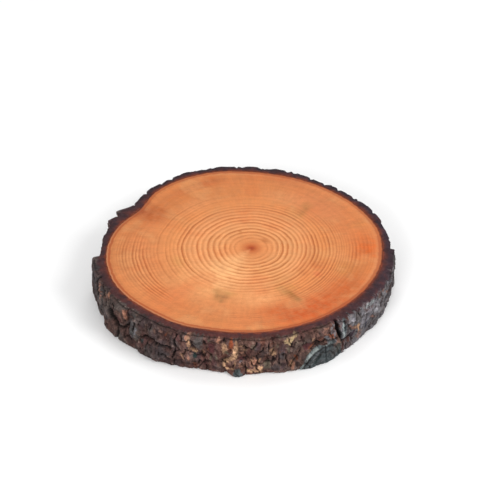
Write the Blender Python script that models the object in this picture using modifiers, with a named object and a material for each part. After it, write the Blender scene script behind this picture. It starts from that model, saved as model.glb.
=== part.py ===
# A round slice sawn across a conifer log, with its bark on.
# Metres, +Z up, origin at the pith on the lower sawn face. Angles run anticlockwise from +X, seen from above.
import math

import bpy
from mathutils import Vector, noise

MM = 0.001

# Driving dimensions
THICKNESS = 34 * MM  # between the two sawn faces
CAMBIUM_GAP = 0.3 * MM  # the drying gap between wood and bark
STEPS_ROUND = 240  # 1.5 degrees, about 3 mm of bark each
STEPS_UP = 14  # rows of bark between the sawn faces

# Radius of the wood from the pith, every 15 degrees from +X
WOOD_RADII_MM = (105, 105.5, 104, 103, 103, 104, 106, 110, 111.5, 110.5, 105, 111.5,
                 115.5, 117, 116.5, 113.5, 112.5, 109.5, 108.5, 107, 105.5, 104.5, 104.5, 105)
# Thickness of the bark at the upper and lower sawn face, at the same angles
BARK_TOP_MM = (7.5, 6.5, 8, 6.5, 7, 9, 8.5, 8, 7.5, 6.5, 10, 9,
               5.5, 9, 11, 11.5, 11.5, 11, 11, 11, 11.5, 12, 11.5, 9.5)
BARK_FOOT_MM = (7, 7.5, 8, 7, 7.5, 9, 8.5, 8, 8, 8, 10, 9.5,
                9, 8, 11.5, 13.5, 9.5, 9, 10, 12, 11, 9, 7.5, 7.5)
# Height over which the upper edge of the bark is worn round
WORN_EDGE_MM = (2, 2, 1.5, 1.5, 1.5, 1.5, 1.5, 1.5, 1.5, 1.5, 2, 2,
                2, 3, 4, 4, 4, 3, 3, 3, 4, 6, 6, 4)
WORN_EDGE_FOOT = 2 * MM
WORN_DEPTH = 0.8  # how far the worn edge steps in, as a share of its height

# Plates of bark that stand proud: angles where each starts and ends, its lower and upper height in mm,
# how proud it is at its start and at its end in mm, and how far its upper edge climbs from start to end in mm
PROUD_PLATES = (
    (149.5, 155.6, 4, 40, 0, 5, 0),
    (156.8, 162, 0, 40, 0.5, 4, 0),
    (184.8, 201, 1, 40, 5, 1.5, 0),
    (203, 214, 0, 25, 1.5, 2, -11),
    (226.5, 240.5, 0, 17.5, 1, 2, -3),
    (241.8, 247.5, 0, 40, 0.5, 1.5, 0),
    (288.5, 299, 0, 7, 2.5, 3, 14),
    (299, 307.3, 0, 21, 3, 2, -8),
    (308, 336, 0, 28, 0.5, 1.5, 0),
    (345, 359.8, 2, 40, 0.5, 3, 0),
)
PLATE_SIDE = 0.35  # degrees either way over which the side of a plate rises
PLATE_EDGE = 1.5 * MM  # the same for its upper edge
PLATE_COVER = 0.6  # how much of the common plates a proud plate hides
PROUD_ENOUGH = 2 * MM  # to hide that much
# Rounded lumps: angle and height of the middle, half width and half height, how proud the middle is, in mm
LUMPS = (
    (208, 5, 10, 9, 1.2),
    (233.5, 6, 15, 12, 2),
    (264.8, 0, 10, 10, 5.5),
)
# Open cracks: angle and height of the upper and of the lower end, width and depth in mm
CRACKS = (
    (305.5, 40, 307, 15, 2.2, 5),
    (241.3, 31, 240.8, 7, 1.6, 3.5),
    (208.8, 26, 211, 15, 2, 4),
    (211, 15, 218, 14, 1.6, 3.5),
    (226, 16, 236, 16.5, 1.6, 3),
    (222.5, 31, 221.5, 12, 1.5, 3),
    (337.5, 24, 336.5, 6, 2, 3.5),
    (201.8, 34, 202.5, 4, 1.8, 3.5),
)
CRACK_FLOOR = 0.3  # of a crack's width

# The plates that cover the rest of the bark, as cells in space
PLATE_SIZE = Vector((17, 17, 25)) * MM
PLATE_RANGE = 1.7 * MM  # how much one plate differs in height from the next
PLATE_TILT = 2.2 * MM  # how far a plate lifts from one side to the other
PLATE_LOT = 53  # spreads the cells, so that neighbours draw unlike heights
WANDER_SIZE = 14 * MM  # the plates' edges wander by WANDER over this length
WANDER = 2.5 * MM
WANDER_SEED = 11  # without it, the edges would wander another way on each run
FISSURE_DEPTH = 2.3 * MM
FISSURE_SHARE = 0.22  # of a plate's size
LEAST_BARK = 3.5 * MM

SHARP_ANGLE = 40  # degrees

WOOD_COLOUR = (0.72, 0.36, 0.13, 1)
WOOD_ROUGHNESS = 0.45
BARK_COLOUR = (0.07, 0.045, 0.04, 1)
BARK_ROUGHNESS = 0.9


def ease(value, low, high):
    """0 below low, 1 above high, and smooth between them."""
    share = min(1, max(0, (value - low) / (high - low)))
    return share * share * (3 - 2 * share)


def round_the_tree(values, angle):
    """A value at this angle in degrees, on a smooth closed curve through evenly spaced values."""
    place = angle / 360 * len(values)
    first = math.floor(place)
    share = place - first
    a, b, c, d = (values[(first + i) % len(values)] for i in (-1, 0, 1, 2))
    slope_in, slope_out = (c - a) / 2, (d - b) / 2
    bend = 2 * (b - c) + slope_in + slope_out
    return b + share * (slope_in + share * (c - b - slope_in - bend + share * bend))


def wood_radius(angle):
    return round_the_tree(WOOD_RADII_MM, angle) * MM


def proud_plates(angle, z):
    """How far the named plates lift the bark's surface here."""
    lift = 0
    for start, end, foot, top, lift_start, lift_end, climb in PROUD_PLATES:
        along = min(1, max(0, (angle - start) / (end - start)))
        edge = (top + climb * along) * MM
        inside = ease(angle, start - PLATE_SIDE, start + PLATE_SIDE)
        inside *= 1 - ease(angle, end - PLATE_SIDE, end + PLATE_SIDE)
        inside *= ease(z, (foot - 1) * MM, foot * MM)
        inside *= 1 - ease(z, edge - PLATE_EDGE, edge + PLATE_EDGE)
        lift = max(lift, inside * (lift_start + (lift_end - lift_start) * along) * MM)
    return lift


def lumps(angle, z):
    """How far the rounded lumps lift the bark's surface here."""
    lift = 0
    for middle, height, half_width, half_height, proud in LUMPS:
        across = math.radians(angle - middle) * wood_radius(angle) / (half_width * MM)
        away = math.hypot(across, (z - height * MM) / (half_height * MM))
        lift += proud * MM * (1 - ease(away, 0, 1))
    return lift


def cracks(angle, z):
    """How deep the named cracks cut into the bark here."""
    radius = wood_radius(angle)
    here = Vector((math.radians(angle) * radius, z))
    cut = 0
    for angle_top, top, angle_foot, foot, width, depth in CRACKS:
        upper = Vector((math.radians(angle_top) * radius, top * MM))
        lower = Vector((math.radians(angle_foot) * radius, foot * MM))
        line = lower - upper
        share = min(1, max(0, (here - upper).dot(line) / line.length_squared))
        away = (here - upper - line * share).length
        cut = max(cut, depth * MM * (1 - ease(away, CRACK_FLOOR * width * MM, width * MM)))
    return cut


def plates(angle, z):
    """Height of the common plates and the fissures between them, from the base surface."""
    turn = math.radians(angle)
    radius = wood_radius(angle)
    spot = Vector((math.cos(turn) * radius, math.sin(turn) * radius, z))
    spot += noise.noise_vector(spot / WANDER_SIZE) * WANDER
    cell = Vector((spot.x / PLATE_SIZE.x, spot.y / PLATE_SIZE.y, spot.z / PLATE_SIZE.z))
    distances, centres = noise.voronoi(cell)
    lot = noise.cell_vector(centres[0] * PLATE_LOT)
    lift = (lot.x - 0.5) * PLATE_RANGE
    lift += (cell - centres[0]).dot(lot - Vector((0.5, 0.5, 0.5))) * PLATE_TILT
    fissure = 1 - ease(distances[1] - distances[0], 0, FISSURE_SHARE)
    return lift - fissure * FISSURE_DEPTH


def bark_radius(angle, z):
    """Outer radius of the bark at this angle in degrees and this height."""
    up = ease(z, 0, THICKNESS)
    foot, top = (round_the_tree(values, angle) * MM for values in (BARK_FOOT_MM, BARK_TOP_MM))
    thickness = foot + (top - foot) * up
    named = proud_plates(angle, z)
    common = plates(angle, z) * (1 - PLATE_COVER * ease(named, 0, PROUD_ENOUGH))
    thickness += named + lumps(angle, z) + common - cracks(angle, z)
    worn = round_the_tree(WORN_EDGE_MM, angle) * MM
    for reach, height in ((THICKNESS - z, worn), (z, WORN_EDGE_FOOT)):
        drop = min(1, max(0, 1 - reach / height))
        thickness -= WORN_DEPTH * height * (1 - math.sqrt(1 - drop * drop))
    return wood_radius(angle) + max(thickness, LEAST_BARK)


def start_empty():
    for thing in list(bpy.data.objects):
        bpy.data.objects.remove(thing)
    parts = bpy.data.collections.new("wood_slice")
    bpy.context.scene.collection.children.link(parts)
    return parts


def finish(name, colour, roughness):
    material = bpy.data.materials.new(name)
    material.use_nodes = True
    shader = material.node_tree.nodes["Principled BSDF"]
    shader.inputs["Base Color"].default_value = colour
    shader.inputs["Roughness"].default_value = roughness
    return material


def angle_of(point):
    return math.degrees(math.atan2(point.y, point.x)) % 360


def make_wood(parts):
    """The sawn disc: a cylinder drawn out to the outline under the bark."""
    bpy.ops.mesh.primitive_cylinder_add(vertices=STEPS_ROUND, radius=1, depth=THICKNESS,
                                        location=(0, 0, THICKNESS / 2))
    wood = bpy.context.object
    wood.name = "wood"
    for vertex in wood.data.vertices:
        radius = wood_radius(angle_of(vertex.co))
        vertex.co.x *= radius
        vertex.co.y *= radius
    wood.data.materials.append(finish("sanded_wood", WOOD_COLOUR, WOOD_ROUGHNESS))
    for owner in list(wood.users_collection):
        owner.objects.unlink(wood)
    parts.objects.link(wood)
    return wood


def bark_section():
    """The bark's section as a loop of points: across, from 0 at the wood to 1 outside, and height."""
    worn_rows = [1 - math.cos(math.radians(turn)) for turn in (30, 60, 90)]
    inner = [(0, 0), (0, THICKNESS)]
    rise = THICKNESS / STEPS_UP
    outer = [(1, THICKNESS - row * rise) for row in worn_rows]
    outer += [(1, rise * row) for row in range(STEPS_UP - 2, 0, -1)]
    return inner + [(1, THICKNESS)] + outer + [(1, 0)]


def make_bark(parts):
    """The ring of bark: its section turned round the pith, then raised into plates and cut by fissures."""
    loop = bark_section()
    section = bpy.data.meshes.new("bark_section")
    edges = [(i, (i + 1) % len(loop)) for i in range(len(loop))]
    section.from_pydata([(1 + across, 0, z) for across, z in loop], edges, [])
    turned = bpy.data.objects.new("bark_turned", section)
    parts.objects.link(turned)
    screw = turned.modifiers.new("turn", "SCREW")
    screw.steps = screw.render_steps = STEPS_ROUND
    screw.use_merge_vertices = False
    graph = bpy.context.evaluated_depsgraph_get()
    mesh = bpy.data.meshes.new_from_object(turned.evaluated_get(graph))
    bpy.data.objects.remove(turned)

    for vertex in mesh.vertices:
        angle = angle_of(vertex.co)
        across = math.hypot(vertex.co.x, vertex.co.y) - 1
        inner = wood_radius(angle) + CAMBIUM_GAP
        radius = inner + across * (bark_radius(angle, vertex.co.z) - inner)
        turn = math.radians(angle)
        vertex.co.x = math.cos(turn) * radius
        vertex.co.y = math.sin(turn) * radius
    mesh.name = "bark"
    bark = bpy.data.objects.new("bark", mesh)
    parts.objects.link(bark)
    mesh.shade_smooth()
    mesh.set_sharp_from_angle(angle=math.radians(SHARP_ANGLE))
    mesh.materials.append(finish("rough_bark", BARK_COLOUR, BARK_ROUGHNESS))
    return bark


def main():
    noise.seed_set(WANDER_SEED)
    parts = start_empty()
    make_wood(parts)
    make_bark(parts)


main()
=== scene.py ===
import math
import random

import bmesh
import bpy
import numpy as np
from mathutils import Matrix, Vector, noise


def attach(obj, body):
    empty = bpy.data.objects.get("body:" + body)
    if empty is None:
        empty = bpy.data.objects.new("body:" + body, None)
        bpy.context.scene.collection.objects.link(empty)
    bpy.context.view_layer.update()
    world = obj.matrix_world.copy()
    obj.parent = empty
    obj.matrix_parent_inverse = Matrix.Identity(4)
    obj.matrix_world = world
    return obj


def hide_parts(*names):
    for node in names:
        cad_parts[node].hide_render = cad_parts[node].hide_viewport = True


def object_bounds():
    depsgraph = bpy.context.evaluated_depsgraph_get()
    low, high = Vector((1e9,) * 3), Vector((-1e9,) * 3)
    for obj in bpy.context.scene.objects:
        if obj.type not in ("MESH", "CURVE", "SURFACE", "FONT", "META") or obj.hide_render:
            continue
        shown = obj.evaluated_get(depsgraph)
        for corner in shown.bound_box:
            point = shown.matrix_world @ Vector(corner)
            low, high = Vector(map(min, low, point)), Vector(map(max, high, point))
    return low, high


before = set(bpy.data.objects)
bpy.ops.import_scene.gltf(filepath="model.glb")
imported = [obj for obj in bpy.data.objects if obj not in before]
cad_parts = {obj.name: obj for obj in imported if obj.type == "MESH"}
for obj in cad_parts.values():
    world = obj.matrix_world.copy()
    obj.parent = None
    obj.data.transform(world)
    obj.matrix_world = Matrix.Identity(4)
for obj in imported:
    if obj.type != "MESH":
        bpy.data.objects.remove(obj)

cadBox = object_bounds()
mm = 0.001
thickness = (cadBox[1].z - cadBox[0].z) / mm  # lengths below are in mm and angles in degrees, from +X

# the forms that the imported slice has
sliceForm = {
    "woodRadii": (105, 105.5, 104, 103, 103, 104, 106, 110, 111.5, 110.5, 105, 111.5,
                  115.5, 117, 116.5, 113.5, 112.5, 109.5, 108.5, 107, 105.5, 104.5, 104.5, 105),
    "barkTop": (7.5, 6.5, 8, 6.5, 7, 9, 8.5, 8, 7.5, 6.5, 10, 9,
                5.5, 9, 11, 11.5, 11.5, 11, 11, 11, 11.5, 12, 11.5, 9.5),
    "barkFoot": (7, 7.5, 8, 7, 7.5, 9, 8.5, 8, 8, 8, 10, 9.5,
                 9, 8, 11.5, 13.5, 9.5, 9, 10, 12, 11, 9, 7.5, 7.5),
    "wornEdge": (2, 2, 1.5, 1.5, 1.5, 1.5, 1.5, 1.5, 1.5, 1.5, 2, 2,
                 2, 3, 4, 4, 4, 3, 3, 3, 4, 6, 6, 4),
    "wornFoot": 2,
    "wornDepth": 0.8,
    "leastBark": 3.5,
    # start, end, foot, top, proud at the start, proud at the end, climb of the upper edge
    "proudPlates": ((149.5, 155.6, 4, 40, 0, 5, 0), (156.8, 162, 0, 40, 0.5, 4, 0),
                    (184.8, 201, 1, 40, 5, 1.5, 0), (203, 214, 0, 25, 1.5, 2, -11),
                    (226.5, 240.5, 0, 17.5, 1, 2, -3), (241.8, 247.5, 0, 40, 0.5, 1.5, 0),
                    (288.5, 299, 0, 7, 2.5, 3, 14), (299, 307.3, 0, 21, 3, 2, -8),
                    (308, 336, 0, 28, 0.5, 1.5, 0), (345, 359.8, 2, 40, 0.5, 3, 0)),
    "plateSide": 0.3,
    "plateEdge": 0.7,
    "plateCover": 0.6,
    "proudEnough": 2,
    # middle, height, half width, half height, proud
    "lumps": ((208, 5, 10, 9, 1.2), (233.5, 6, 15, 12, 2), (264.8, 0, 10, 10, 5.5)),
    "plateSize": (17, 17, 25),
    "plateRange": 1.7,
    "plateTilt": 2.2,
    "plateLot": 53,
    "wanderSize": 14,
    "wander": 2.5,
    "wanderSeed": 11,
    "fissureDepth": 2.3,
    "fissureShare": 0.22,
}
noise.seed_set(sliceForm["wanderSeed"])  # without it, the noise vectors would differ on each run


def ease(value, low, high):
    share = np.clip((value - low) / (high - low), 0, 1)
    return share * share * (3 - 2 * share)


def roundTheTree(values, angle):  # a smooth closed curve through evenly spaced values
    values = np.asarray(values, float)
    place = angle / 360 * len(values)
    first = np.floor(place).astype(int)
    share = place - first
    a, b, c, d = (values[(first + i) % len(values)] for i in (-1, 0, 1, 2))
    slopeIn, slopeOut = (c - a) / 2, (d - b) / 2
    bend = 2 * (b - c) + slopeIn + slopeOut
    return b + share * (slopeIn + share * (c - b - slopeIn - bend + share * bend))


def turnApart(a, b):  # the turn from b to a, between -180 and 180
    return (a - b + 180) % 360 - 180


def woodRadius(angle):
    return roundTheTree(sliceForm["woodRadii"], angle)


def onTheTree(angle, z, radius):
    turn = np.radians(angle)
    return np.stack([np.cos(turn) * radius, np.sin(turn) * radius, z], 1)


def proudPlates(angle, z):
    form = sliceForm
    side, rim = form["plateSide"], form["plateEdge"]
    lift = np.zeros(len(angle))
    for start, end, foot, top, liftStart, liftEnd, climb in form["proudPlates"]:
        along = np.clip((angle - start) / (end - start), 0, 1)
        edge = top + climb * along
        inside = ease(angle, start - side, start + side) * (1 - ease(angle, end - side, end + side))
        inside *= ease(z, foot - 1, foot) * (1 - ease(z, edge - rim, edge + rim))
        lift = np.maximum(lift, inside * (liftStart + (liftEnd - liftStart) * along))
    return lift


def lumps(angle, z):
    lift = np.zeros(len(angle))
    for middle, height, halfWidth, halfHeight, proud in sliceForm["lumps"]:
        across = np.radians(angle - middle) * woodRadius(angle) / halfWidth
        lift += proud * (1 - ease(np.hypot(across, (z - height) / halfHeight), 0, 1))
    return lift


def inCells(spot, size):
    return Vector((spot.x / size[0], spot.y / size[1], spot.z / size[2]))


def commonPlates(spots):  # gives how high each spot of the common plates is, and how deep in a fissure
    form = sliceForm
    lift, fissure = np.zeros(len(spots)), np.zeros(len(spots))
    for i, spot in enumerate(spots):
        spot = Vector(spot)
        spot += noise.noise_vector(spot / form["wanderSize"]) * form["wander"]
        cell = inCells(spot, form["plateSize"])
        distances, centres = noise.voronoi(cell)
        lot = noise.cell_vector(centres[0] * form["plateLot"])
        tilt = (cell - centres[0]).dot(lot - Vector((0.5, 0.5, 0.5)))
        lift[i] = (lot.x - 0.5) * form["plateRange"] + tilt * form["plateTilt"]
        fissure[i] = distances[1] - distances[0]
    return lift, 1 - ease(fissure, 0, form["fissureShare"])


def paint(code):  # a painter's hex code, made linear
    parts = [int(code[i:i + 2], 16) / 255 for i in (0, 2, 4)]
    return [p / 12.92 if p <= 0.04045 else ((p + 0.055) / 1.055) ** 2.4 for p in parts] + [1]


# turns a section of the XZ plane once round Z: one sector is spun, and the rest are copies of it
def spinSection(name, section, steps, sectors, closed):
    bm = bmesh.new()
    mark = bm.verts.layers.float.new("alongSection")
    made = []
    for i, (x, z) in enumerate(section):
        made.append(bm.verts.new((x, 0, z)))
        made[-1][mark] = i
    pairs = list(zip(made, made[1:]))
    if closed:
        pairs.append((made[-1], made[0]))
    edges = [bm.edges.new(pair) for pair in pairs]
    bmesh.ops.spin(bm, geom=made + edges, cent=(0, 0, 0), axis=(0, 0, 1), dvec=(0, 0, 0),
                   angle=math.tau / sectors, steps=steps // sectors)
    bmesh.ops.remove_doubles(bm, verts=bm.verts, dist=1e-5)
    sector = bpy.data.meshes.new(name + "_sector")
    bm.to_mesh(sector)
    bm.free()
    bm = bmesh.new()
    for i in range(sectors):
        bm.from_mesh(sector)
        bm.verts.ensure_lookup_table()
        bmesh.ops.rotate(bm, verts=bm.verts[-len(sector.vertices):], cent=(0, 0, 0),
                         matrix=Matrix.Rotation(math.tau * i / sectors, 3, "Z"))
    bmesh.ops.remove_doubles(bm, verts=bm.verts, dist=1e-5)
    bmesh.ops.recalc_face_normals(bm, faces=bm.faces)
    mesh = bpy.data.meshes.new(name)
    bm.to_mesh(mesh)
    bm.free()
    bpy.data.meshes.remove(sector)
    piece = bpy.data.objects.new(name, mesh)
    bpy.context.scene.collection.objects.link(piece)
    return piece


def places(mesh):
    found = np.empty(len(mesh.vertices) * 3)
    mesh.vertices.foreach_get("co", found)
    return found.reshape(-1, 3)


def readMark(mesh, name):
    found = np.empty(len(mesh.vertices))
    mesh.attributes[name].data.foreach_get("value", found)
    return found


def writeMark(mesh, name, values):
    mesh.attributes.new(name, "FLOAT", "POINT").data.foreach_set("value", np.asarray(values, np.float32))


def writeTint(mesh, name, colours):
    layer = mesh.attributes.new(name, "FLOAT_COLOR", "POINT")
    layer.data.foreach_set("color", np.asarray(colours, np.float32).ravel())


def dab(colours, code, weight):  # lays one tone over those laid before; the colours are premultiplied
    tone = np.array(paint(code))
    return colours * (1 - weight[:, None]) + tone * weight[:, None]


def settle(colours):  # back to plain colours, with the cover as alpha
    cover = np.maximum(colours[:, 3:], 1e-4)
    return np.concatenate([colours[:, :3] / cover, colours[:, 3:]], 1)


def put(tree, kind, inputs=None, **settings):  # a node with its inputs set or wired
    node = tree.nodes.new(kind)
    for key, value in settings.items():
        setattr(node, key, value)
    for key, value in (inputs or {}).items():
        if isinstance(value, bpy.types.NodeSocket):
            tree.links.new(value, node.inputs[key])
        else:
            node.inputs[key].default_value = value
    return node


def blend(tree, share, under, over, kind="MIX"):
    inputs = {0: share, 6: under, 7: over}
    return put(tree, "ShaderNodeMix", inputs, data_type="RGBA", blend_type=kind).outputs[2]


def calc(tree, operation, a, b=0.0, c=0.0):
    return put(tree, "ShaderNodeMath", {0: a, 1: b, 2: c}, operation=operation).outputs[0]


def stretch(tree, value, low, high, toLow=0.0, toHigh=1.0):
    inputs = {"Value": value, "From Min": low, "From Max": high, "To Min": toLow, "To Max": toHigh}
    return put(tree, "ShaderNodeMapRange", inputs, interpolation_type="SMOOTHSTEP").outputs[0]


def lighten(tree, colour, value):
    return put(tree, "ShaderNodeHueSaturation", {"Color": colour, "Value": value}).outputs[0]


def readBack(tree, name, output="Fac"):
    return put(tree, "ShaderNodeAttribute", attribute_name=name).outputs[output]


def newMaterial(name):
    material = bpy.data.materials.new(name)
    material.use_nodes = True
    return material, material.node_tree, material.node_tree.nodes["Principled BSDF"]


# soft blotches, small specks and fine grit, for wood and bark alike; the sizes are in mm
def mottleGroup():
    tree = bpy.data.node_groups.new("mottle", "ShaderNodeTree")
    tree.interface.new_socket(name="Place", in_out="INPUT", socket_type="NodeSocketVector")
    sizes = {"Blotch": 9.0, "Speck": 2.5, "Grit": 0.6}
    for name, size in sizes.items():
        socket = tree.interface.new_socket(name=name + " Size", in_out="INPUT", socket_type="NodeSocketFloat")
        socket.default_value = size
        tree.interface.new_socket(name=name, in_out="OUTPUT", socket_type="NodeSocketFloat")
    given, gone = tree.nodes.new("NodeGroupInput"), tree.nodes.new("NodeGroupOutput")
    for name, detail, roughness in (("Blotch", 3, 0.5), ("Speck", 4, 0.6), ("Grit", 2, 0.5)):
        scale = calc(tree, "DIVIDE", 1 / mm, given.outputs[name + " Size"])
        inputs = {"Vector": given.outputs["Place"], "Scale": scale, "Detail": detail, "Roughness": roughness}
        found = put(tree, "ShaderNodeTexNoise", inputs)
        tree.links.new(found.outputs["Fac"], gone.inputs[name])
    return tree


mottle = mottleGroup()
print("stage: helpers and the shared mottle group are ready")

woodSettings = {
    "columns": 720,
    "sectors": 24,
    "topRows": 70,
    "footRows": 34,
    "rimRound": 0.3,
    "seam": 0.25,  # how much of the drying gap the wood takes up
    "pithReach": 105,  # rings near the pith are round, as if the slice had this radius everywhere
    "roundUpTo": 0.66,
    "roundings": 10,
    "ringPullSide": 355,  # the tree grew slower on this side, by this share
    "ringPull": 0.1,
    "ringPullStarts": (0.15, 0.45), "ringPullEnds": (0.7, 0.95),
    # ring widths: distance from the pith on a slice of that radius, and width there
    "ringWidths": ((0, 4.1), (16, 4.2), (26, 4.5), (45, 4.3), (56, 3.5), (73, 3.0), (79, 2.1), (92, 1.85),
                   (105, 1.3)),
    "ringsOutTo": 120, "ringSamples": 1200,
    # rings begin a little way from the pith, then fade in two steps: from, to, and the share lost
    "ringsBegin": (8, 19), "ringsFade": ((55, 64, 0.4), (72, 82, 0.75)), "clearestRing": 1.4,
    # how clearly rings show: angle, radius, half turn, half width, and how much clearer or fainter
    "ringShow": (
        (232, 40, 17, 26, -0.55), (88, 72, 42, 17, -0.75), (265, 68, 24, 12, -0.85), (228, 74, 18, 12, -0.5),
        (196, 91, 24, 7, 1.5), (212, 92, 12, 7, 1.2), (186, 102, 12, 5, 0.8), (356, 84, 12, 10, 0.75),
        (268, 89, 9, 4, 0.6), (148, 75, 22, 4, 0.5), (325, 71, 22, 9, 0.9), (18, 67, 18, 8, 0.5),
        (148, 90, 24, 14, -0.5), (172, 68, 18, 9, -0.3), (236, 88, 20, 12, -0.5), (50, 84, 26, 14, -0.4),
        (300, 34, 50, 16, 0.2), (20, 42, 60, 16, 0.2), (170, 52, 24, 10, 0.25),
    ),
    "sharpFrom": 30,
    # the bake's map: middles of the two faces, their radius, and the rim's corner and size
    "mapTop": 0.295, "mapFoot": 0.705, "mapRadius": 0.285, "mapRim": (0.62, 0.02), "mapRimSize": (0.36, 0.3),
    # the field colour from the pith out, then the tones laid over it
    "fieldTones": ((0, "a03f17"), (0.02, "b04f22"), (0.045, "c46b38"), (0.09, "d6864e"), (0.25, "e09a62"),
                   (0.45, "de9660"), (0.6, "d6884f"), (0.8, "cf7f4a"), (1, "c97a45")),
    "warmTone": "c06a38", "paleTone": "e3a066", "ringTone": "dabda4", "bandTone": "da9262",
    "redTone": "9a431e", "darkEdgeTone": "6e301d", "edgeHighlightTone": "c07c52",
    "gloss": 0.22,
    # each of these is given every 15 degrees: the painted highlight along the edge, the red line inside it,
    # the broad pale band
    "edgeHighlight": (0.1, 0, 0, 0, 0, 0, 0, 0.1, 0.1, 0, 0.1, 0.6, 0.9, 1, 1, 1, 0.8, 0.4, 0.1, 0, 0, 0, 0, 0.1),
    "redLine": (0.8, 0.7, 0.7, 0.7, 0.8, 0.9, 0.9, 0.9, 0.8, 0.8, 0.9, 1, 1, 1, 1, 1, 1, 1, 1, 1,
                1, 1, 0.9, 0.8),
    "paleBand": (0.5, 0.4, 0.3, 0.2, 0.3, 0.3, 0.5, 0.5, 0.2, 0, 0, 0, 0, 0, 0, 0.1, 0.3, 0.3, 0.1, 0,
                 0, 0.1, 0.5, 0.7),
    # soft stains, the first of them partly a painted pool of light at the front left: angle, radius, half
    # turn, half width, tone, strength
    "stainsAndPaintedLight": (
        (232, 38, 26, 30, "f0b278", 0.95), (215, 60, 22, 22, "dc965e", 0.6), (275, 64, 16, 12, "e29c66", 0.7),
        (180, 40, 30, 26, "e0945b", 0.5), (186, 92, 16, 18, "d2834f", 0.7), (182, 108, 14, 9, "c17845", 0.7),
        (100, 84, 42, 24, "c87a44", 0.9), (131, 90, 16, 18, "c4733c", 0.75), (91, 46, 40, 18, "d08049", 0.5),
        (150, 92, 9, 13, "b05c2c", 0.9), (151, 104, 5, 8, "a2502a", 0.8), (47, 78, 22, 22, "c8784a", 0.75),
        (110, 101, 7, 6, "b4602f", 0.6), (70, 94, 9, 6, "bd7044", 0.5), (92, 98, 5, 8, "b86a3c", 0.4),
        (118, 96, 16, 5, "b45c30", 0.5), (78, 99, 14, 3.5, "b45a30", 0.5), (165, 100, 8, 7, "bb6836", 0.5),
        (128, 74, 14, 9, "e09862", 0.4), (68, 74, 16, 9, "d88f5c", 0.4), (205, 74, 14, 8, "c87c48", 0.4),
        (352, 70, 8, 7, "dc9660", 0.4), (312, 78, 8, 6, "d68a54", 0.4), (285, 82, 12, 6, "b85420", 0.5),
        (0, 93, 12, 11, "cd642a", 0.9), (343, 88, 8, 11, "c07038", 0.6), (323, 92, 15, 15, "bd5f2c", 0.9),
        (298, 92, 20, 16, "c25724", 0.95), (267, 96, 10, 8, "cf7c48", 0.7), (230, 94, 20, 12, "cd7c46", 0.75),
        (209, 95, 8, 12, "d48a54", 0.6), (226, 82, 6, 20, "cc7040", 0.45), (4, 45, 30, 18, "d6874f", 0.4),
        (20, 84, 9, 14, "cc7440", 0.5), (337, 57, 6, 6, "bf6434", 0.7), (327, 62, 3, 4, "cf7044", 0.7),
        (2, 58, 20, 6, "cc7c42", 0.35), (43, 15, 17, 2.2, "a9602f", 0.75), (112, 24, 4, 1.8, "a8622f", 0.6),
        (343, 52, 10, 10, "c87f48", 0.4), (300, 44, 14, 10, "d09055", 0.45), (283, 32, 10, 5, "c88c52", 0.4),
        (244, 62, 3.5, 3.5, "b07a48", 0.7), (247.5, 68, 3, 5, "a06c3c", 0.8), (252, 67, 3, 6, "966238", 0.8),
        (249, 62, 6, 4, "c08c54", 0.5), (256, 62, 4, 3, "b98448", 0.4), (251, 73, 1.6, 3, "9a6a3c", 0.6),
        (295, 62, 4, 7, "ac7a44", 0.6), (297.5, 70, 2.4, 8, "9a6430", 0.85),
        (299, 76, 2, 3.4, "946030", 0.75), (293, 57, 4, 3, "b98448", 0.5),
        (302, 60, 3, 5, "bb8446", 0.4), (48, 60, 3, 5, "b0763f", 0.5),
        (50, 68, 2.6, 8, "a26c3c", 0.65), (53, 74, 3, 5, "ac743f", 0.5), (56, 60, 5, 6, "bc7d46", 0.4),
        (197, 61, 7, 6, "c0894c", 0.5), (20, 92, 3, 8, "c67f44", 0.35), (255, 95, 4, 4, "c27a44", 0.45),
        (322, 50, 5, 5, "c4834a", 0.4), (340, 78, 8, 8, "be8044", 0.45), (0, 76, 6, 8, "c87c44", 0.4),
    ),
    "stainFall": 1.3,  # how suddenly a stain ends
}


# how far out a spot lies in ring terms: round near the pith, and like the outline at the bark
def ringPlace(angle, radius):
    settings = woodSettings
    edge, reach = woodRadius(angle), settings["pithReach"]
    share = radius / edge
    for _ in range(settings["roundings"]):
        follow = ease(share, settings["roundUpTo"], 1)
        share = radius / (reach * (1 - follow) + edge * follow)
    facing = (0.5 + 0.5 * np.cos(np.radians(angle - settings["ringPullSide"]))) ** 2
    narrower = settings["ringPull"] * facing * ease(share, *settings["ringPullStarts"])
    narrower = narrower * (1 - ease(share, *settings["ringPullEnds"]))
    return share * reach * (1 + narrower)


def ringCount(place):
    settings = woodSettings
    at, widths = np.array(settings["ringWidths"]).T
    steps = np.linspace(0, settings["ringsOutTo"], settings["ringSamples"] + 1)
    step = steps[1]
    count = np.concatenate([[0], np.cumsum(step / np.interp(steps[:-1] + step / 2, at, widths))])
    return np.interp(place, steps, count)


def woodSection():
    settings = woodSettings
    top = [(i / settings["topRows"], 1) for i in range(settings["topRows"])]
    foot = [(i / settings["footRows"], 0) for i in range(settings["footRows"] - 1, -1, -1)]
    rim = settings["rimRound"] / settings["pithReach"]
    low = settings["rimRound"] / thickness
    return top[:-1] + [(1 - rim, 1), (1, 1 - low), (1, low), (1 - rim, 0)] + foot[1:]


def awayFrom(angle, radius, spot):  # squared distance from a spot, in its own half turns and half widths
    middle, out, halfTurn, halfWidth = spot
    return (turnApart(angle, middle) / halfTurn) ** 2 + ((radius - out) / halfWidth) ** 2


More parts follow.
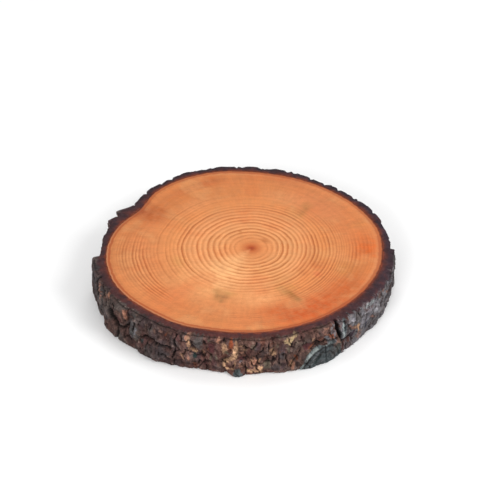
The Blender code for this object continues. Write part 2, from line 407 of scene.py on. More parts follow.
def makeWood():
    settings = woodSettings
    wood = spinSection("wood_disc", woodSection(), settings["columns"], settings["sectors"], closed=False)
    mesh = wood.data
    at = places(mesh)
    angle = np.degrees(np.arctan2(at[:, 1], at[:, 0])) % 360
    radius = np.hypot(at[:, 0], at[:, 1]) * (woodRadius(angle) + settings["seam"])
    layUvOnDisc(mesh, at)
    mesh.vertices.foreach_set("co", (onTheTree(angle, at[:, 2] * thickness, radius) * mm).ravel())

    place = ringPlace(angle, radius)
    show = ease(place, *settings["ringsBegin"])
    for start, end, lost in settings["ringsFade"]:
        show = show * (1 - lost * ease(place, start, end))
    for *spot, change in settings["ringShow"]:
        show = show + change * np.exp(-awayFrom(angle, radius, spot))
    # the stains and, at the front left, a painted pool of light
    colours = np.zeros((len(at), 4))
    for *spot, code, strength in settings["stainsAndPaintedLight"]:
        fall = awayFrom(angle, radius, spot) ** settings["stainFall"]
        colours = dab(colours, code, strength * np.exp(-fall))
    writeMark(mesh, "ringPlace", place)
    writeMark(mesh, "ringCount", ringCount(place))
    writeMark(mesh, "ringShow", np.clip(show, 0, settings["clearestRing"]))
    writeMark(mesh, "toRim", woodRadius(angle) + settings["seam"] - radius)
    for name in ("edgeHighlight", "redLine", "paleBand"):
        writeMark(mesh, name, roundTheTree(settings[name], angle))
    writeTint(mesh, "stainAndPaintedLight", settle(colours))
    mesh.shade_smooth()
    mesh.set_sharp_from_angle(angle=math.radians(settings["sharpFrom"]))
    return wood


# the bake's map: the two faces lie on the diagonal, and the rim in a free corner
def layUvOnDisc(mesh, at):
    settings = woodSettings
    layer = mesh.uv_layers.new(name="OFBake")
    corners = np.empty(len(mesh.loops), int)
    mesh.loops.foreach_get("vertex_index", corners)
    starts = np.empty(len(mesh.polygons), int)
    mesh.polygons.foreach_get("loop_start", starts)
    faceOf = np.searchsorted(starts, np.arange(len(corners)), side="right") - 1
    middles = np.zeros((len(mesh.polygons), 3))
    np.add.at(middles, faceOf, at[corners])
    middles = (middles / np.bincount(faceOf)[:, None])[faceOf]
    spot, height = at[corners], middles[:, 2]
    middle = np.where(height > 0.5, settings["mapTop"], settings["mapFoot"])
    flat = middle[:, None] + spot[:, :2] * settings["mapRadius"]
    turn = np.degrees(np.arctan2(middles[:, 1], middles[:, 0]))
    own = turn + turnApart(np.degrees(np.arctan2(spot[:, 1], spot[:, 0])), turn)
    (left, low), (wide, tall) = settings["mapRim"], settings["mapRimSize"]
    # a degree is spare at each end of the rim
    rim = np.stack([left + (own + 181) / 362 * wide, low + spot[:, 2] * tall], 1)
    onSide = (height > 0.01) & (height < 0.99)
    layer.data.foreach_set("uv", np.where(onSide[:, None], rim, flat).ravel())


# rings: each grows darker outwards and pales again soon after, and no two are the same
def ringLines(tree, place, out, mixed):
    slow = put(tree, "ShaderNodeTexNoise", {"Vector": place, "Scale": 38.0, "Detail": 2.0}).outputs["Fac"]
    fine = put(tree, "ShaderNodeTexNoise", {"Vector": place, "Scale": 260.0, "Detail": 2.0}).outputs["Fac"]
    count = calc(tree, "MULTIPLY_ADD", slow, 0.9, readBack(tree, "ringCount"))
    count = calc(tree, "MULTIPLY_ADD", fine, 0.2, count)
    within, ring = calc(tree, "FRACT", count), calc(tree, "FLOOR", count)
    lot = put(tree, "ShaderNodeTexWhiteNoise", {"W": ring}, noise_dimensions="1D").outputs["Value"]
    rise = stretch(tree, within, calc(tree, "MULTIPLY_ADD", lot, 0.2, 0.15), 0.72)
    dark = calc(tree, "MULTIPLY", rise, stretch(tree, within, 0.72, 1.0, 1.0, 0.0))
    light = calc(tree, "MULTIPLY", stretch(tree, within, 0.5, 0.16), stretch(tree, within, -0.1, 0.08))

    # along its way round, each ring comes and goes
    parts = put(tree, "ShaderNodeSeparateXYZ", {0: out}).outputs
    way = put(tree, "ShaderNodeCombineXYZ", {0: parts[0], 1: parts[1], 2: calc(tree, "MULTIPLY", ring, 0.61)})
    inputs = {"Vector": way.outputs[0], "Scale": 1.5, "Detail": 3.0}
    along = put(tree, "ShaderNodeTexNoise", inputs).outputs["Fac"]
    strength = calc(tree, "MULTIPLY", stretch(tree, along, 0.36, 0.62, 0.5, 1.15),
                    calc(tree, "MULTIPLY_ADD", lot, 0.55, 0.55))
    strength = calc(tree, "MULTIPLY", strength, readBack(tree, "ringShow"))

    # thin false rings between them
    double = calc(tree, "FRACT", calc(tree, "MULTIPLY_ADD", mixed.outputs["Speck"], 0.3,
                                      calc(tree, "MULTIPLY", count, 2.0)))
    grow, fade = stretch(tree, double, 0.35, 0.75), stretch(tree, double, 0.8, 1.0, 1.0, 0.0)
    thin = calc(tree, "MULTIPLY", grow, fade)
    thin = calc(tree, "MULTIPLY", thin, stretch(tree, along, 0.42, 0.62, 0.0, 0.35))
    dark = calc(tree, "MAXIMUM", dark, thin)
    return calc(tree, "MULTIPLY", dark, strength), calc(tree, "MULTIPLY", light, strength), ring


def sandedWood():
    settings = woodSettings
    material, tree, shader = newMaterial("sanded_pine")
    place = put(tree, "ShaderNodeTexCoord").outputs["Object"]
    sizes = {"Place": place, "Blotch Size": 24.0, "Speck Size": 5.0, "Grit Size": 0.7}
    mixed = put(tree, "ShaderNodeGroup", sizes, node_tree=mottle)
    blotch, speck, grit = (mixed.outputs[name] for name in ("Blotch", "Speck", "Grit"))

    # the field colour from the pith out, under the stains and the painted pool of light
    share = calc(tree, "DIVIDE", readBack(tree, "ringPlace"), settings["pithReach"])
    ramp = put(tree, "ShaderNodeValToRGB", {"Fac": share})
    stops = settings["fieldTones"]
    while len(ramp.color_ramp.elements) < len(stops):
        ramp.color_ramp.elements.new(0.5)
    for element, (at, code) in zip(ramp.color_ramp.elements, stops):
        element.position = at
        element.color = paint(code)
    uneven = stretch(tree, speck, 0.3, 0.7, 0.6, 1.15)
    stained = calc(tree, "MULTIPLY", readBack(tree, "stainAndPaintedLight", "Alpha"), uneven)
    colour = blend(tree, stained, ramp.outputs["Color"], readBack(tree, "stainAndPaintedLight", "Color"))

    # which way is out, and how far
    split = put(tree, "ShaderNodeSeparateXYZ", {0: place}).outputs
    flat = put(tree, "ShaderNodeCombineXYZ", {0: split[0], 1: split[1]}).outputs[0]
    out = put(tree, "ShaderNodeVectorMath", {0: flat}, operation="NORMALIZE").outputs[0]
    length = put(tree, "ShaderNodeVectorMath", {0: flat}, operation="LENGTH").outputs["Value"]

    # broad warm and pale patches, but not over the pith
    clear = stretch(tree, length, 0.006, 0.025)
    warm = calc(tree, "MULTIPLY", clear, stretch(tree, blotch, 0.52, 0.7, 0.0, 0.4))
    pale = calc(tree, "MULTIPLY", clear, stretch(tree, blotch, 0.46, 0.3, 0.0, 0.35))
    colour = blend(tree, warm, colour, paint(settings["warmTone"]))
    colour = blend(tree, pale, colour, paint(settings["paleTone"]))

    dark, light, ring = ringLines(tree, place, out, mixed)
    colour = blend(tree, dark, colour, paint(settings["ringTone"]), "MULTIPLY")
    shade = calc(tree, "MULTIPLY_ADD", light, 0.12, 0.965)

    # rays run out from the pith, most of all in the outer wood
    parts = put(tree, "ShaderNodeSeparateXYZ", {0: out}).outputs
    rayPlace = put(tree, "ShaderNodeCombineXYZ", {0: parts[0], 1: parts[1],
                                                  2: calc(tree, "MULTIPLY", length, 2.4)}).outputs[0]
    inputs = {"Vector": rayPlace, "Scale": 20.0, "Detail": 5.0, "Roughness": 0.72}
    rays = put(tree, "ShaderNodeTexNoise", inputs).outputs["Fac"]
    midway, outer = stretch(tree, length, 0.02, 0.07, 0.0, 0.28), stretch(tree, length, 0.06, 0.09, 0.0, 0.12)
    away = calc(tree, "ADD", midway, outer)
    shade = calc(tree, "MULTIPLY_ADD", calc(tree, "SUBTRACT", rays, 0.5), away, shade)

    # sanding marks run across it, and some years grew paler
    across = put(tree, "ShaderNodeMapping", {"Vector": place, "Scale": (60, 900, 60)}).outputs[0]
    sanding = put(tree, "ShaderNodeTexNoise", {"Vector": across, "Scale": 1.0, "Detail": 3.0}).outputs["Fac"]
    shade = calc(tree, "ADD", shade, stretch(tree, sanding, 0.3, 0.7, -0.035, 0.035))
    years = put(tree, "ShaderNodeTexNoise", {"W": calc(tree, "MULTIPLY", ring, 0.43), "Scale": 1.0},
                noise_dimensions="1D").outputs["Fac"]
    shade = calc(tree, "ADD", shade, stretch(tree, years, 0.3, 0.7, -0.04, 0.04))
    for found, reach in ((blotch, 0.07), (speck, 0.05), (grit, 0.05)):
        shade = calc(tree, "ADD", shade, stretch(tree, found, 0.25, 0.75, -reach, reach))
    colour = lighten(tree, colour, shade)

    # the last wood before the bark: a broad pale band, a red line, a dark edge, and a painted highlight along
    # it
    toRim = calc(tree, "ADD", readBack(tree, "toRim"), stretch(tree, speck, 0.3, 0.7, -0.35, 0.35))
    band = calc(tree, "MULTIPLY", stretch(tree, toRim, 7.0, 4.5), stretch(tree, toRim, 1.4, 2.4))
    band = calc(tree, "MULTIPLY", band, calc(tree, "MULTIPLY", readBack(tree, "paleBand"), 0.45))
    colour = blend(tree, band, colour, paint(settings["bandTone"]))
    red = calc(tree, "MULTIPLY", stretch(tree, toRim, 4.2, 2.8), stretch(tree, toRim, 1.2, 2.0, 0.3, 1.0))
    red = calc(tree, "MULTIPLY", red, calc(tree, "MULTIPLY", readBack(tree, "redLine"), 0.72))
    colour = blend(tree, red, colour, paint(settings["redTone"]))
    colour = blend(tree, stretch(tree, toRim, 2.0, 0.3), colour, paint(settings["darkEdgeTone"]))
    # painted highlight: a pale line along the wood's edge, strongest on the left
    line = calc(tree, "MULTIPLY", stretch(tree, toRim, 1.9, 1.2), stretch(tree, toRim, 0.1, 0.6))
    line = calc(tree, "MULTIPLY", line, calc(tree, "MULTIPLY", readBack(tree, "edgeHighlight"), 0.7))
    colour = blend(tree, line, colour, paint(settings["edgeHighlightTone"]))

    bump = calc(tree, "MULTIPLY_ADD", dark, -0.6, calc(tree, "MULTIPLY", grit, 0.5))
    bump = calc(tree, "MULTIPLY_ADD", sanding, 0.5, bump)
    raised = put(tree, "ShaderNodeBump", {"Height": bump, "Strength": 0.12, "Distance": 0.2 * mm}).outputs[0]
    tree.links.new(colour, shader.inputs["Base Color"])
    tree.links.new(raised, shader.inputs["Normal"])
    tree.links.new(stretch(tree, speck, 0.2, 0.8, 0.48, 0.62), shader.inputs["Roughness"])
    shader.inputs["Specular IOR Level"].default_value = settings["gloss"]
    return material


wood = makeWood()
wood.data.materials.append(sandedWood())
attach(wood, "root")
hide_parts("wood")
print("stage: wood", len(wood.data.polygons), "faces")

barkTones = {
    "umber": "342726", "dusk": "3d3637", "ash": "4c4644", "brown": "59423a", "maroon": "4c2a2c",
    "plum": "3c2f37", "rust": "6e3d2a", "ember": "7a3418", "salmon": "9a6c58", "tan": "98745a",
    "paleTan": "bc9473", "sand": "a28c68", "olive": "544c40", "slate": "404749",
    # ink is painted shade: near-black laid into cracks, pits and seams
    "paleSlate": "848c8a", "lilac": "716d72", "paleLilac": "8f8d90", "creviceShade": "120c0c",
    "teal": "22302f", "pinkBrown": "7a5a50", "navy": "2f2d3a",
}

barkSettings = {
    "columns": 1440,
    "sectors": 24,
    "sideRows": 44,
    "topRows": 12,
    "footRows": 8,
    "rowCrowding": 0.35,  # rows gather towards the sawn faces
    "gap": 0.3,
    "seenFissures": 0.4,  # the common fissures are shallow on the side that the photograph shows
    "rearFissures": 0.8,
    "seenFrom": (165, 185), "seenTo": (355, 359.9),  # the turns over which that side begins and ends
    "bendSize": 7, "bend": 2.4, "fraySize": 2.6, "fray": 1.0,
    "layerSize": (11, 11, 13), "layerNoise": (0.9, 2.1, 4),
    "layerSteps": 2.5, "layerEdge": 0.2, "layerLean": 0.3, "layerRise": 0.65,
    "creaseSize": (9, 9, 13), "creaseWidth": 0.075, "creaseDepth": 1.5,
    "openSize": 17, "openFrom": (-0.1, 0.25),  # where creases are open at all
    "flakeSize": (3.7, 3.7, 6.4), "flakeRange": 0.9, "flakeTilt": 1.1,
    "flakeSeam": 0.14, "flakeSeamDepth": 0.5,
    # how scaly the bark is, every 15 degrees
    "flakeShow": (0.4, 0.45, 0.5, 0.5, 0.45, 0.5, 0.5, 0.55, 0.5, 0.45, 0.4, 0.35,
                  0.3, 0.25, 0.25, 0.28, 0.3, 0.3, 0.3, 0.28, 0.25, 0.22, 0.22, 0.3),
    "levelTurn": 24, "levelBack": 0.4,
    "grainSize": 1.2, "grain": 0.2,
    "raggedSize": 2.2, "raggedNoise": (0.8, 2.2, 3),
    "skinAtRim": 0.3, "skinGrowsOver": 3,  # the skin is flatter next to the upper sawn face
    "leastShare": 0.7,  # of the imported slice's thinnest bark
    "sawnDip": 0.35,
    "sharpFrom": 50,
    # how hollow the skin is against its surroundings: columns and rows each way, and weight
    "surroundings": ((9, 5, 0.55), (3, 2, 0.5)),
    "tileTurn": 40, "tileMargin": 0.01,
    # how far the smooth sawn band reaches from the wood, over the edge, every 15 degrees
    "sawnReach": (8.5, 8.5, 9.5, 8, 8.5, 10.5, 10, 9.5, 9, 8, 11.5, 10.5,
                  7.5, 7, 6.5, 6.5, 6.5, 6.5, 6.5, 6.5, 7, 8, 9, 9),
    # and its outer tone, every 30 degrees
    "sawnTones": ("3a2a31", "342830", "30262d", "34272d", "36282d", "3c292c", "402b2d", "472b2b", "4e2a28",
                  "502b27", "472a2b", "3d2a2f"),
    # tones of the small flakes from each angle on, drawn by lot
    "flakeTones": (
        (0, "dusk umber plum ash slate dusk lilac umber"),
        (25, "dusk umber brown ash maroon dusk slate umber pinkBrown"),
        (75, "umber brown dusk maroon rust ash pinkBrown dusk plum"),
        (125, "dusk ash umber slate plum brown lilac dusk"),
        (165, "dusk ash umber maroon dusk slate brown"),
        (184, "dusk ash dusk umber ash slate"),
        (202, "dusk umber ash olive dusk umber ash brown"),
        (226, "dusk brown umber ash maroon dusk brown plum"),
        (245, "maroon brown umber dusk pinkBrown umber brown plum maroon"),
        (258, "maroon brown umber brown pinkBrown rust dusk umber"),
        (284, "umber brown dusk maroon brown pinkBrown olive umber"),
        (305, "slate lilac dusk lilac ash lilac dusk paleLilac"),
        (345, "dusk lilac ash slate umber"),
    ),
    "toneDrift": 14,
    # the curled flake at the foot: middle, height, half turn, half height, where its layers end, their step
    "curl": (297.8, -2, 9.8, 21.5), "curlLayers": (0.97, 0.8, 0.6), "curlStep": 0.7, "curlBack": 2.2,
    "curlLean": 0.14, "curlLeansFrom": 4,
    "curlRagged": 0.035, "curlEnd": 0.96, "curlLayerEdge": 0.02, "curlSeam": 0.03, "curlCover": 0.95,
    # where the painted highlight on the curled flake's rim lies
    "curlRimStarts": (0.84, 0.9), "curlRimEnds": (0.95, 0.985), "curlRimTurn": (-4, 1),
    # cracks: width and depth, then angle and height of the points that they pass
    "cracks": (
        (2.3, 5, (304.6, 38), (305.2, 30), (306.2, 22), (307.4, 15)),
        (1, 1.8, (242, 32), (241, 25), (241.7, 18), (240, 8)),
        (1.7, 4, (207.5, 27), (209, 21), (211, 16), (214, 13), (218, 14), (219.6, 20)),
        (1.5, 3, (226, 15), (229, 18), (233, 17.5), (237, 16)),
        (1.3, 2.4, (223.6, 27), (222.8, 20), (223.2, 14)),
        (1.2, 2.4, (220.6, 23), (220.2, 16), (221, 9)),
        (1.6, 3, (337.5, 24), (336.5, 6)),
        (3.6, 5.5, (197.6, 33), (197.9, 27), (198.4, 19)),
        (1.2, 1.5, (202, 26), (202.4, 14)),
    ),
    "crackFloor": 0.3, "crackWobble": 0.7, "crackTaper": 0.55,
    # marks of the seen side: angle, height, half width, half height, turn, tone, strength, sunk
    # the near-black ink marks are painted shade over sunk cracks and pits
    "marks": (
        (192, 17, 14, 18, 0, "dusk", 0.75, 0), (182.5, 26, 3, 6, 0, "maroon", 0.6, 0),
        (200.4, 25, 1.3, 9, 0, "pinkBrown", 0.8, 0), (200.2, 29, 0.8, 4, 0, "salmon", 0.5, 0),
        (204.5, 28, 3.2, 4, -20, "brown", 0.9, 0), (205, 29, 2, 2, 0, "olive", 0.6, 0),
        (207.8, 31, 2.6, 2.8, 0, "salmon", 0.9, 0.2), (206.2, 27, 1.2, 2.5, 20, "pinkBrown", 0.8, 0),
        (211.7, 27, 2.6, 3, -30, "creviceShade", 1, 2), (206.5, 14, 7, 6, 0, "dusk", 0.6, 0),
        (216, 23, 6, 8, 0, "brown", 0.55, 0), (215, 18, 3, 4, 0, "maroon", 0.4, 0),
        (219.3, 29.5, 2.4, 6, 5, "rust", 0.5, 0), (218.8, 28.5, 1.6, 5, 5, "salmon", 0.75, 0.1),
        (222.5, 20, 4.5, 12, 0, "slate", 0.5, 0), (224.2, 19, 0.9, 4.5, -12, "lilac", 0.5, 0),
        (224.9, 13.5, 0.8, 2.5, 0, "ash", 0.8, 0), (227, 12.5, 2, 3, 0, "teal", 0.8, 0.2),
        (221, 6, 4, 4, 0, "umber", 0.6, 0), (229, 26, 2, 6, 0, "brown", 0.6, 0),
        (232, 9, 12, 8, 0, "dusk", 0.5, 0), (235.5, 30, 2.6, 1.6, 20, "pinkBrown", 0.8, 0),
        (237.5, 28.5, 1, 3, -30, "rust", 0.7, 0.2), (236.6, 24, 4, 4, 0, "maroon", 0.3, 0),
        (233, 28, 1, 3, 10, "brown", 0.8, 0), (239, 31, 2.4, 1.4, 0, "brown", 0.7, 0),
        (238, 17.3, 3.4, 1.2, -8, "creviceShade", 0.9, 0.9), (243.5, 27, 2.2, 1, 0, "creviceShade", 0.5, 0.5),
        (245.5, 15, 4.6, 6, 0, "pinkBrown", 0.5, 0), (250.3, 28, 3.6, 6.5, 0, "ash", 0.85, -0.4),
        (246.2, 33, 1.8, 2.4, 0, "salmon", 0.9, 0.2), (246.8, 27, 1.3, 5.5, 3, "tan", 0.95, 0.2),
        (247.1, 29, 0.7, 3.2, 0, "paleTan", 0.5, 0), (248.4, 21.4, 2.6, 1.6, -40, "tan", 0.85, 0.2),
        (249.3, 19.4, 1, 1, 0, "paleTan", 0.7, 0), (244, 12, 0.9, 3.5, 15, "tan", 0.5, 0),
        (246.8, 13, 1, 3, -10, "salmon", 0.5, 0), (248.9, 15.2, 1.6, 3, 0, "teal", 1, 1),
        (248.8, 6, 2.8, 3, 0, "rust", 0.6, 0), (246.5, 7, 2.4, 3, 0, "umber", 0.7, 0),
        (243, 6, 2.6, 3, 0, "umber", 0.7, 0), (252, 17, 1, 3.4, 8, "salmon", 0.85, 0.2),
        (251.6, 19, 0.8, 1.6, 0, "tan", 0.6, 0), (255, 24, 3.4, 5.5, 0, "maroon", 0.8, 0),
        (253.6, 22, 1, 2, 0, "rust", 0.5, 0), (254.6, 13, 1.3, 4, 0, "olive", 0.7, 0),
        (256.8, 15, 1.2, 6, 4, "olive", 0.6, 0), (257.6, 9, 1.2, 4, 0, "brown", 0.8, 0),
        (252, 8, 4, 4, 0, "maroon", 0.5, 0), (256, 5, 3.6, 2.4, 0, "umber", 0.6, 0),
        (257.8, 32, 1.6, 2.4, 0, "salmon", 0.85, 0.1), (254, 31.5, 1.2, 1.5, 0, "olive", 0.7, 0),
        (259.8, 32.4, 1.6, 1.8, 0, "creviceShade", 0.9, 0.8), (260, 25, 2.3, 5, -4, "tan", 0.9, 0),
        (260.6, 21.5, 1.8, 2.4, 0, "olive", 0.7, 0), (259.4, 27, 0.8, 3, 0, "paleTan", 0.4, 0),
        (262.6, 29, 2.1, 6, 0, "rust", 1, -0.1), (262.6, 30.5, 1.3, 4, 0, "ember", 0.45, 0),
        (262.3, 24.2, 0.9, 2, 0, "creviceShade", 0.7, 0.6), (264.6, 27.5, 1.2, 6, 7, "tan", 1, 0.1),
        (264, 22, 1.3, 3.5, 10, "paleTan", 0.9, 0), (263.4, 18, 1.5, 3.2, 12, "paleTan", 1, 0),
        (262, 14.6, 2.4, 1.3, 30, "paleTan", 0.95, 0), (260, 11.5, 1.8, 2.2, 10, "tan", 0.95, 0),
        (259.7, 8.4, 1.2, 2.4, 0, "paleTan", 0.95, 0), (260.8, 5.6, 1.8, 1, -15, "paleTan", 0.9, 0),
        (263, 5.6, 1.4, 0.9, 15, "tan", 0.8, 0), (261.9, 10, 1.9, 3, 0, "pinkBrown", 0.9, 0.3),
        (262.6, 11.4, 0.4, 2.4, 0, "umber", 0.9, 0.5), (263.8, 11, 0.8, 3.4, 0, "tan", 0.8, 0),
        (267, 27, 4.2, 7, 0, "brown", 0.8, 0), (267, 31.5, 3, 1.3, 6, "pinkBrown", 0.7, 0),
        (266.8, 28, 3, 0.7, 6, "tan", 0.7, 0), (267.2, 24.6, 2.6, 0.6, -6, "tan", 0.6, 0),
        (266.4, 21.6, 2.6, 0.8, 10, "salmon", 0.6, 0), (270.6, 29, 2.4, 4, 0, "olive", 0.6, 0),
        (272.6, 28, 2.6, 5, 0, "plum", 0.5, 0), (266.3, 16, 3.6, 2, 4, "maroon", 0.9, 0.7),
        (267, 11, 4, 2.8, 8, "pinkBrown", 1, 0.1), (266, 13, 1.6, 1, 0, "lilac", 0.6, 0),
        (265.8, 9, 1.2, 1.4, 0, "salmon", 0.6, 0), (270.8, 17.6, 1.2, 1.6, 0, "salmon", 0.8, 0),
        (271.2, 12, 4, 3.6, -12, "salmon", 0.75, 0.1), (272.9, 14.4, 0.8, 3, -16, "tan", 0.8, 0),
        (270, 14.6, 1.6, 1.2, 0, "tan", 0.6, 0), (268.6, 6.6, 0.9, 1.6, 0, "umber", 0.7, 0.4),
        (269.6, 4.6, 2.8, 1.9, 0, "paleTan", 0.85, 0.1), (273.2, 6.4, 1.9, 4, -6, "paleTan", 0.9, 0.1),
        (271.3, 6.8, 1.2, 1.6, 0, "tan", 0.6, 0), (273.6, 2.6, 1.6, 1.8, 0, "tan", 0.8, 0),
        (265, 2.6, 4, 3.4, 0, "slate", 1, 0), (264.6, 4.4, 1.2, 1.6, 0, "teal", 0.6, 0),
        (276, 10, 3, 5, 0, "olive", 0.7, 0), (279, 6, 4, 4, 0, "dusk", 0.7, 0),
        (274.6, 22, 3, 4, 0, "slate", 0.4, 0), (276.4, 28.5, 0.7, 4.6, -4, "creviceShade", 0.95, 1),
        (277.6, 24.8, 1.8, 1.9, -20, "tan", 0.95, 0.1), (278.3, 20.2, 2.5, 2.8, -12, "tan", 0.95, 0.1),
        (278.3, 19.6, 1.7, 1.9, 0, "paleTan", 1, 0), (277.1, 21.4, 0.6, 2, 20, "creviceShade", 0.6, 0.5),
        (279.6, 28.4, 1.8, 3, 0, "brown", 0.9, 0), (279.8, 27, 0.9, 1.8, 0, "olive", 0.7, 0),
        (280.4, 15, 0.7, 7, 3, "creviceShade", 0.7, 0.8), (288, 24, 4, 5, 0, "olive", 0.35, 0),
        (282, 24, 3, 5, 0, "plum", 0.5, 0), (291.6, 29, 4, 3, 0, "umber", 0.5, 0),
        (284, 30, 3, 3, 0, "sand", 0.95, 0.1), (284.6, 27, 1.2, 2, 0, "sand", 0.6, 0),
        (286.2, 32.8, 3, 1, 0, "sand", 0.8, 0), (283.9, 31, 1.4, 1.3, 0, "paleTan", 0.5, 0),
        (284.2, 21, 0.8, 3, 6, "olive", 0.8, 0), (285.3, 7.4, 2, 3.6, 8, "salmon", 1, 0.1),
        (285.2, 7.2, 1.1, 2.2, 5, "paleTan", 0.75, 0), (287.2, 12.4, 1.3, 2.6, 20, "rust", 0.9, 0.2),
        (283.6, 9, 0.8, 4, 8, "creviceShade", 0.6, 0.6), (287.4, 6, 1.2, 2.4, 0, "umber", 0.9, 0.4),
        (282, 7, 2.6, 3.4, 0, "plum", 0.5, 0), (291.6, 21, 5, 2.6, 30, "maroon", 0.8, 0),
        (293.4, 19.6, 3.4, 1.4, 30, "rust", 0.7, 0), (295.4, 28, 3.4, 3, 10, "pinkBrown", 0.8, 0),
        (294.4, 25, 1.6, 1.2, 20, "tan", 0.5, 0), (299.4, 30, 3, 3, 0, "pinkBrown", 0.9, 0),
        (299.8, 31.4, 1.6, 1, 0, "salmon", 0.5, 0), (302.4, 22, 4.6, 1.8, -38, "rust", 0.8, 0),
        (300, 26, 3, 1.2, -30, "salmon", 0.5, 0), (303.6, 19, 2.6, 0.8, -34, "salmon", 0.5, 0),
        (297.6, 23, 3, 1.4, 20, "rust", 0.5, 0), (294.6, 18.4, 4.4, 0.7, 28, "creviceShade", 0.7, 0.6),
        (301, 20, 3.6, 0.6, -18, "creviceShade", 0.6, 0.5), (305.6, 11, 2.6, 5, -10, "olive", 0.5, 0),
        (305.2, 14.6, 2, 1.6, 0, "pinkBrown", 0.6, 0), (308.6, 23, 2.3, 11, 0, "slate", 1, 0),
        (308.3, 18.5, 0.8, 4, 4, "paleSlate", 0.8, 0), (308.2, 27, 0.7, 5, 0, "paleSlate", 0.5, 0),
        (310.6, 20, 1.6, 9, 0, "dusk", 0.8, 0), (312.6, 29, 3.4, 2, 0, "lilac", 0.9, 0),
        (312, 28.4, 1.2, 0.9, 0, "paleLilac", 0.7, 0), (313.6, 19.6, 6.4, 2, -34, "pinkBrown", 0.9, 0),
        (314.4, 19, 3, 0.8, -34, "paleTan", 0.6, 0), (316.4, 17, 1.1, 4.6, 14, "paleTan", 0.75, 0),
        (313.4, 13, 3, 4.4, 0, "plum", 0.9, 0.3), (317.4, 8, 4, 4, 0, "pinkBrown", 0.6, 0),
        (318.6, 21, 2.4, 8, 0, "lilac", 0.8, 0), (315.4, 24.6, 2, 1, -20, "lilac", 0.7, 0),
        (321.4, 13, 2, 4.5, -10, "navy", 0.8, 0.3), (324, 30.2, 6, 1.7, 0, "paleSlate", 0.6, 0),
        (323.6, 30, 3, 0.8, 4, "paleLilac", 0.6, 0), (322.6, 22, 4, 6, -12, "lilac", 0.7, 0),
        (320, 26, 3, 1, -30, "paleLilac", 0.5, 0), (328.5, 18.6, 6, 1.5, -38, "paleLilac", 0.7, 0),
        (330, 21.6, 6, 0.9, -40, "paleLilac", 0.6, 0), (327, 13, 5, 2.6, -34, "dusk", 0.7, 0.2),
        (325.6, 16, 5, 1, -38, "pinkBrown", 0.7, 0), (333.2, 21, 2.4, 7, 10, "umber", 0.9, 0.5),
        (331.6, 29.6, 4, 1.8, 0, "brown", 0.6, 0), (334.6, 29.6, 1.6, 1.3, 0, "salmon", 0.5, 0),
        (328, 7, 3, 2.6, 0, "umber", 0.6, 0), (340.6, 19.6, 4, 1, -34, "pinkBrown", 0.9, 0),
        (341, 14, 3, 4, 0, "dusk", 0.8, 0), (343.5, 29, 5, 3.6, 0, "plum", 0.8, 0),
        (346, 22, 0.9, 4, -10, "lilac", 0.9, 0), (352, 18, 10, 14, 0, "dusk", 0.5, 0),
        (357.5, 22, 3, 8, 0, "lilac", 0.4, 0), (291.6, 7, 4.4, 0.7, 48, "creviceShade", 0.7, 0.3),
        (293.6, 7, 5.5, 0.6, 46, "paleSlate", 0.45, 0), (295.6, 8, 6, 0.8, 44, "teal", 0.8, 0.3),
        (298, 13, 5, 0.7, 26, "creviceShade", 0.6, 0.3), (300, 9, 4, 0.5, 34, "ash", 0.6, 0),
        (302.6, 8, 3, 4.5, 0, "ash", 0.5, 0), (304, 13, 2.4, 2.6, 0, "brown", 0.7, 0),
        (297, 4, 3, 1.4, 20, "lilac", 0.35, 0), (264.3, 25, 1.1, 5, 8, "paleTan", 0.8, 0),
        (263.8, 20, 1.5, 5, 12, "paleTan", 1, -0.2), (262.6, 15.6, 2.2, 1.8, 30, "paleTan", 1, -0.2),
        (260.8, 12.6, 1.8, 1.9, 35, "paleTan", 1, -0.1), (267.4, 9.6, 2.4, 1.6, 0, "salmon", 0.4, 0),
        (270.2, 9.4, 2, 0.9, -20, "tan", 0.5, 0), (272, 4.6, 3.4, 1.2, 0, "tan", 0.6, 0),
        (285.4, 30.4, 2.4, 1.6, 20, "sand", 0.9, 0), (277.8, 22.4, 1.6, 3.6, -14, "tan", 0.9, 0),
        (290, 12, 3, 4, 20, "umber", 0.6, 0), (281.6, 17, 2.2, 4, 0, "dusk", 0.7, 0),
        (270.5, 23, 3, 4, 0, "umber", 0.5, 0), (256, 10, 3, 4, 0, "maroon", 0.5, 0),
        (237, 12, 6, 6, 0, "dusk", 0.5, 0), (227, 22, 5, 8, 0, "umber", 0.4, 0),
    ),
    "rearSpan": (2, 180), "rearMarks": 150, "rearSeed": 8,
    "rearTones": ("rust", "brown", "dusk", "maroon", "pinkBrown", "salmon", "tan", "lilac", "slate", "olive"),
    "markEdge": (0.6, 1.3), "markRagged": 0.5, "markDepths": (-0.5, 1.2),
    "markGirth": 9,  # marks are measured this far out from the wood
    # the tones that lie in a grey or in a brown halo
    "greyHalo": ("paleSlate", "paleLilac"), "brownHalo": ("tan", "paleTan", "sand", "salmon"),
    "haloReach": 1.5, "haloRagged": 0.9, "haloStrength": 0.55,
    # weathered tones: under a layer that came off, on one that stayed, pale and dark specks, and the painted
    # shade in hollows
    "bareTone": "55322a", "stayedTone": "5c524e", "paleSpeck": "7c685e", "darkSpeck": "241a1a",
    "hollowShadeTone": "0d0807",
    # the sawn faces from the middle to the wood, then their dark and red patches and pale specks
    "sawnMiddle": "4c2c2a", "sawnNearWood": "602f26", "sawnAtWood": "7c3c24",
    "sawnDark": "2b2229", "sawnRed": "5c3230", "sawnSpeck": "6a5450",
    "gloss": 0.12,
}


